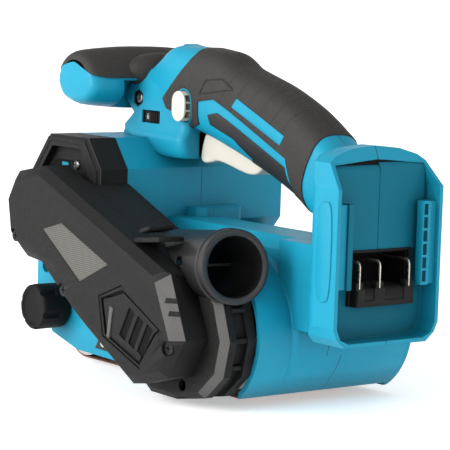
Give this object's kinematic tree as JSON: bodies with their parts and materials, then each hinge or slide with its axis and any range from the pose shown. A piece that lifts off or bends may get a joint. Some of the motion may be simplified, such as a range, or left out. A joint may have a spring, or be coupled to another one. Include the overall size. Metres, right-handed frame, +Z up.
{
  "type": "belt sander",
  "caption": "Cordless belt sander with a cross-wise front handle, arched rear handle, side-mounted belt drive, dust spout and an open battery mount.",
  "frame": {"origin": "centre of the sanding surface: midway between drum and front roller axes, on the belt's middle line, at its underside", "axes": "+X to the front of the tool, +Y to its left (drive cover side), +Z up"},
  "size_m": [0.2848, 0.1708, 0.2044],
  "materials": {
    "blue_housing": "fine spark texture",
    "grip_rubber": "matt moulded-on rubber",
    "black_plastic": "fine spark texture",
    "screw_steel": "dark zinc",
    "plate": "satin, printed",
    "label": "printed film",
    "spout_plastic": "smooth moulded",
    "casting": "die cast",
    "spring_steel": "rolled",
    "graphite": "graphite-faced felt",
    "abrasive": "abrasive grit on cloth",
    "drum_rubber": "ground rubber",
    "steel": "ground",
    "bearing_steel": "polished",
    "belt_rubber": "moulded rubber",
    "gear_steel": "oiled",
    "magnet": "sintered ferrite",
    "copper": "enamelled copper",
    "insulator": "moulded insulator",
    "carbon": "carbon",
    "fan_plastic": "moulded",
    "bronze": "sintered bronze",
    "cream_plastic": "satin moulded",
    "board": "circuit board",
    "switch_plastic": "moulded",
    "contact": "nickel-plated",
    "dial_plastic": "ribbed moulded"
  },
  "bodies": {
    "frame": {"housing_left": "blue_housing", "housing_right": "blue_housing", "grip_rubber_left": "grip_rubber", "grip_rubber_right": "grip_rubber", "front_grip_rubber": "grip_rubber", "housing_screws": "screw_steel", "motor_end_cap": "black_plastic", "gear_case": "black_plastic", "drive_cover": "black_plastic", "name_plate": "plate", "cover_screws": "screw_steel", "side_label": "label", "dust_spout": "spout_plastic", "sole_frame": "casting", "platen": "spring_steel", "graphite_pad": "graphite", "sanding_belt": "abrasive", "drum_bearings": "bearing_steel", "idler_bearings": "bearing_steel", "toothed_belt": "belt_rubber", "motor_can": "gear_steel", "motor_magnets": "magnet", "brush_plate": "insulator", "brushes": "carbon", "motor_bearings": "bearing_steel", "lever_pin": "steel", "trigger_pin": "steel", "speed_board": "board", "switch_body": "switch_plastic", "terminal_block": "black_plastic", "terminal_blades": "contact"},
    "drum": {"drum_core": "casting", "drum_sleeve": "drum_rubber", "drum_shaft": "steel", "drum_gear": "gear_steel"},
    "idler": {"idler_shaft": "steel", "idler_pulley": "casting", "pinion": "gear_steel"},
    "rotor": {"motor_shaft": "steel", "armature": "gear_steel", "windings": "copper", "commutator": "copper", "cooling_fan": "fan_plastic", "motor_pulley": "steel"},
    "roller_carriage": {"roller_axle": "steel", "roller_clip": "spring_steel", "roller_fork": "spring_steel"},
    "roller": {"front_roller": "steel", "roller_bushes": "bronze"},
    "lever": {"tension_lever": "spring_steel"},
    "knob": {"tracking_knob": "black_plastic", "tracking_screw": "steel"},
    "trigger_lever": {"trigger": "cream_plastic"},
    "lock": {"lock_button": "cream_plastic"},
    "dial": {"speed_dial": "dial_plastic"}
  },
  "joints": [
    {"name": "motor_spin", "type": "hinge", "parent": "frame", "child": "rotor", "pos_m": [0.048, 0, 0.102], "axis": [0, 1, 0], "continuous": true},
    {"name": "idler_spin", "type": "hinge", "parent": "frame", "child": "idler", "pos_m": [-0.066, 0.08, 0.04205], "axis": [0, 1, 0], "continuous": true},
    {"name": "drum_spin", "type": "hinge", "parent": "frame", "child": "drum", "pos_m": [-0.07844, 0, 0.0233], "axis": [0, 1, 0], "continuous": true},
    {"name": "belt_tension", "type": "slide", "parent": "frame", "child": "roller_carriage", "axis": [1, 0, 0], "range_m": [-0.006, 0]},
    {"name": "roller_spin", "type": "hinge", "parent": "roller_carriage", "child": "roller", "pos_m": [0.07844, 0, 0.0233], "axis": [0, 1, 0], "continuous": true},
    {"name": "lever_swing", "type": "hinge", "parent": "frame", "child": "lever", "pos_m": [0.046, -0.042, 0.024], "axis": [0, 0, 1], "range_deg": [0, 85]},
    {"name": "tracking_turn", "type": "hinge", "parent": "frame", "child": "knob", "pos_m": [0.081, 0.0685, 0.035], "axis": [0, 1, 0], "range_deg": [-180, 180]},
    {"name": "trigger_pull", "type": "hinge", "parent": "frame", "child": "trigger_lever", "pos_m": [-0.068, 0.011, 0.141], "axis": [0, -1, 0], "range_deg": [0, 7], "stiffness_Nm_per_rad": 1.6, "springref_deg": -6.88},
    {"name": "lock_press", "type": "slide", "parent": "frame", "child": "lock", "axis": [0, -1, 0], "range_m": [0, 0.005], "stiffness_N_per_m": 300, "springref_m": -0.004},
    {"name": "dial_turn", "type": "hinge", "parent": "frame", "child": "dial", "pos_m": [0.0285, 0.014, 0.1585], "axis": [0, 0, 1], "range_deg": [0, 250]}
  ],
  "couplings": [
    {"joint": "idler_spin", "follows": "motor_spin", "ratio": 0.45},
    {"joint": "drum_spin", "follows": "motor_spin", "ratio": -0.16364},
    {"joint": "roller_spin", "follows": "motor_spin", "ratio": -0.16364},
    {"joint": "lever_swing", "follows": "belt_tension", "rad_per_m": -247}
  ]
}
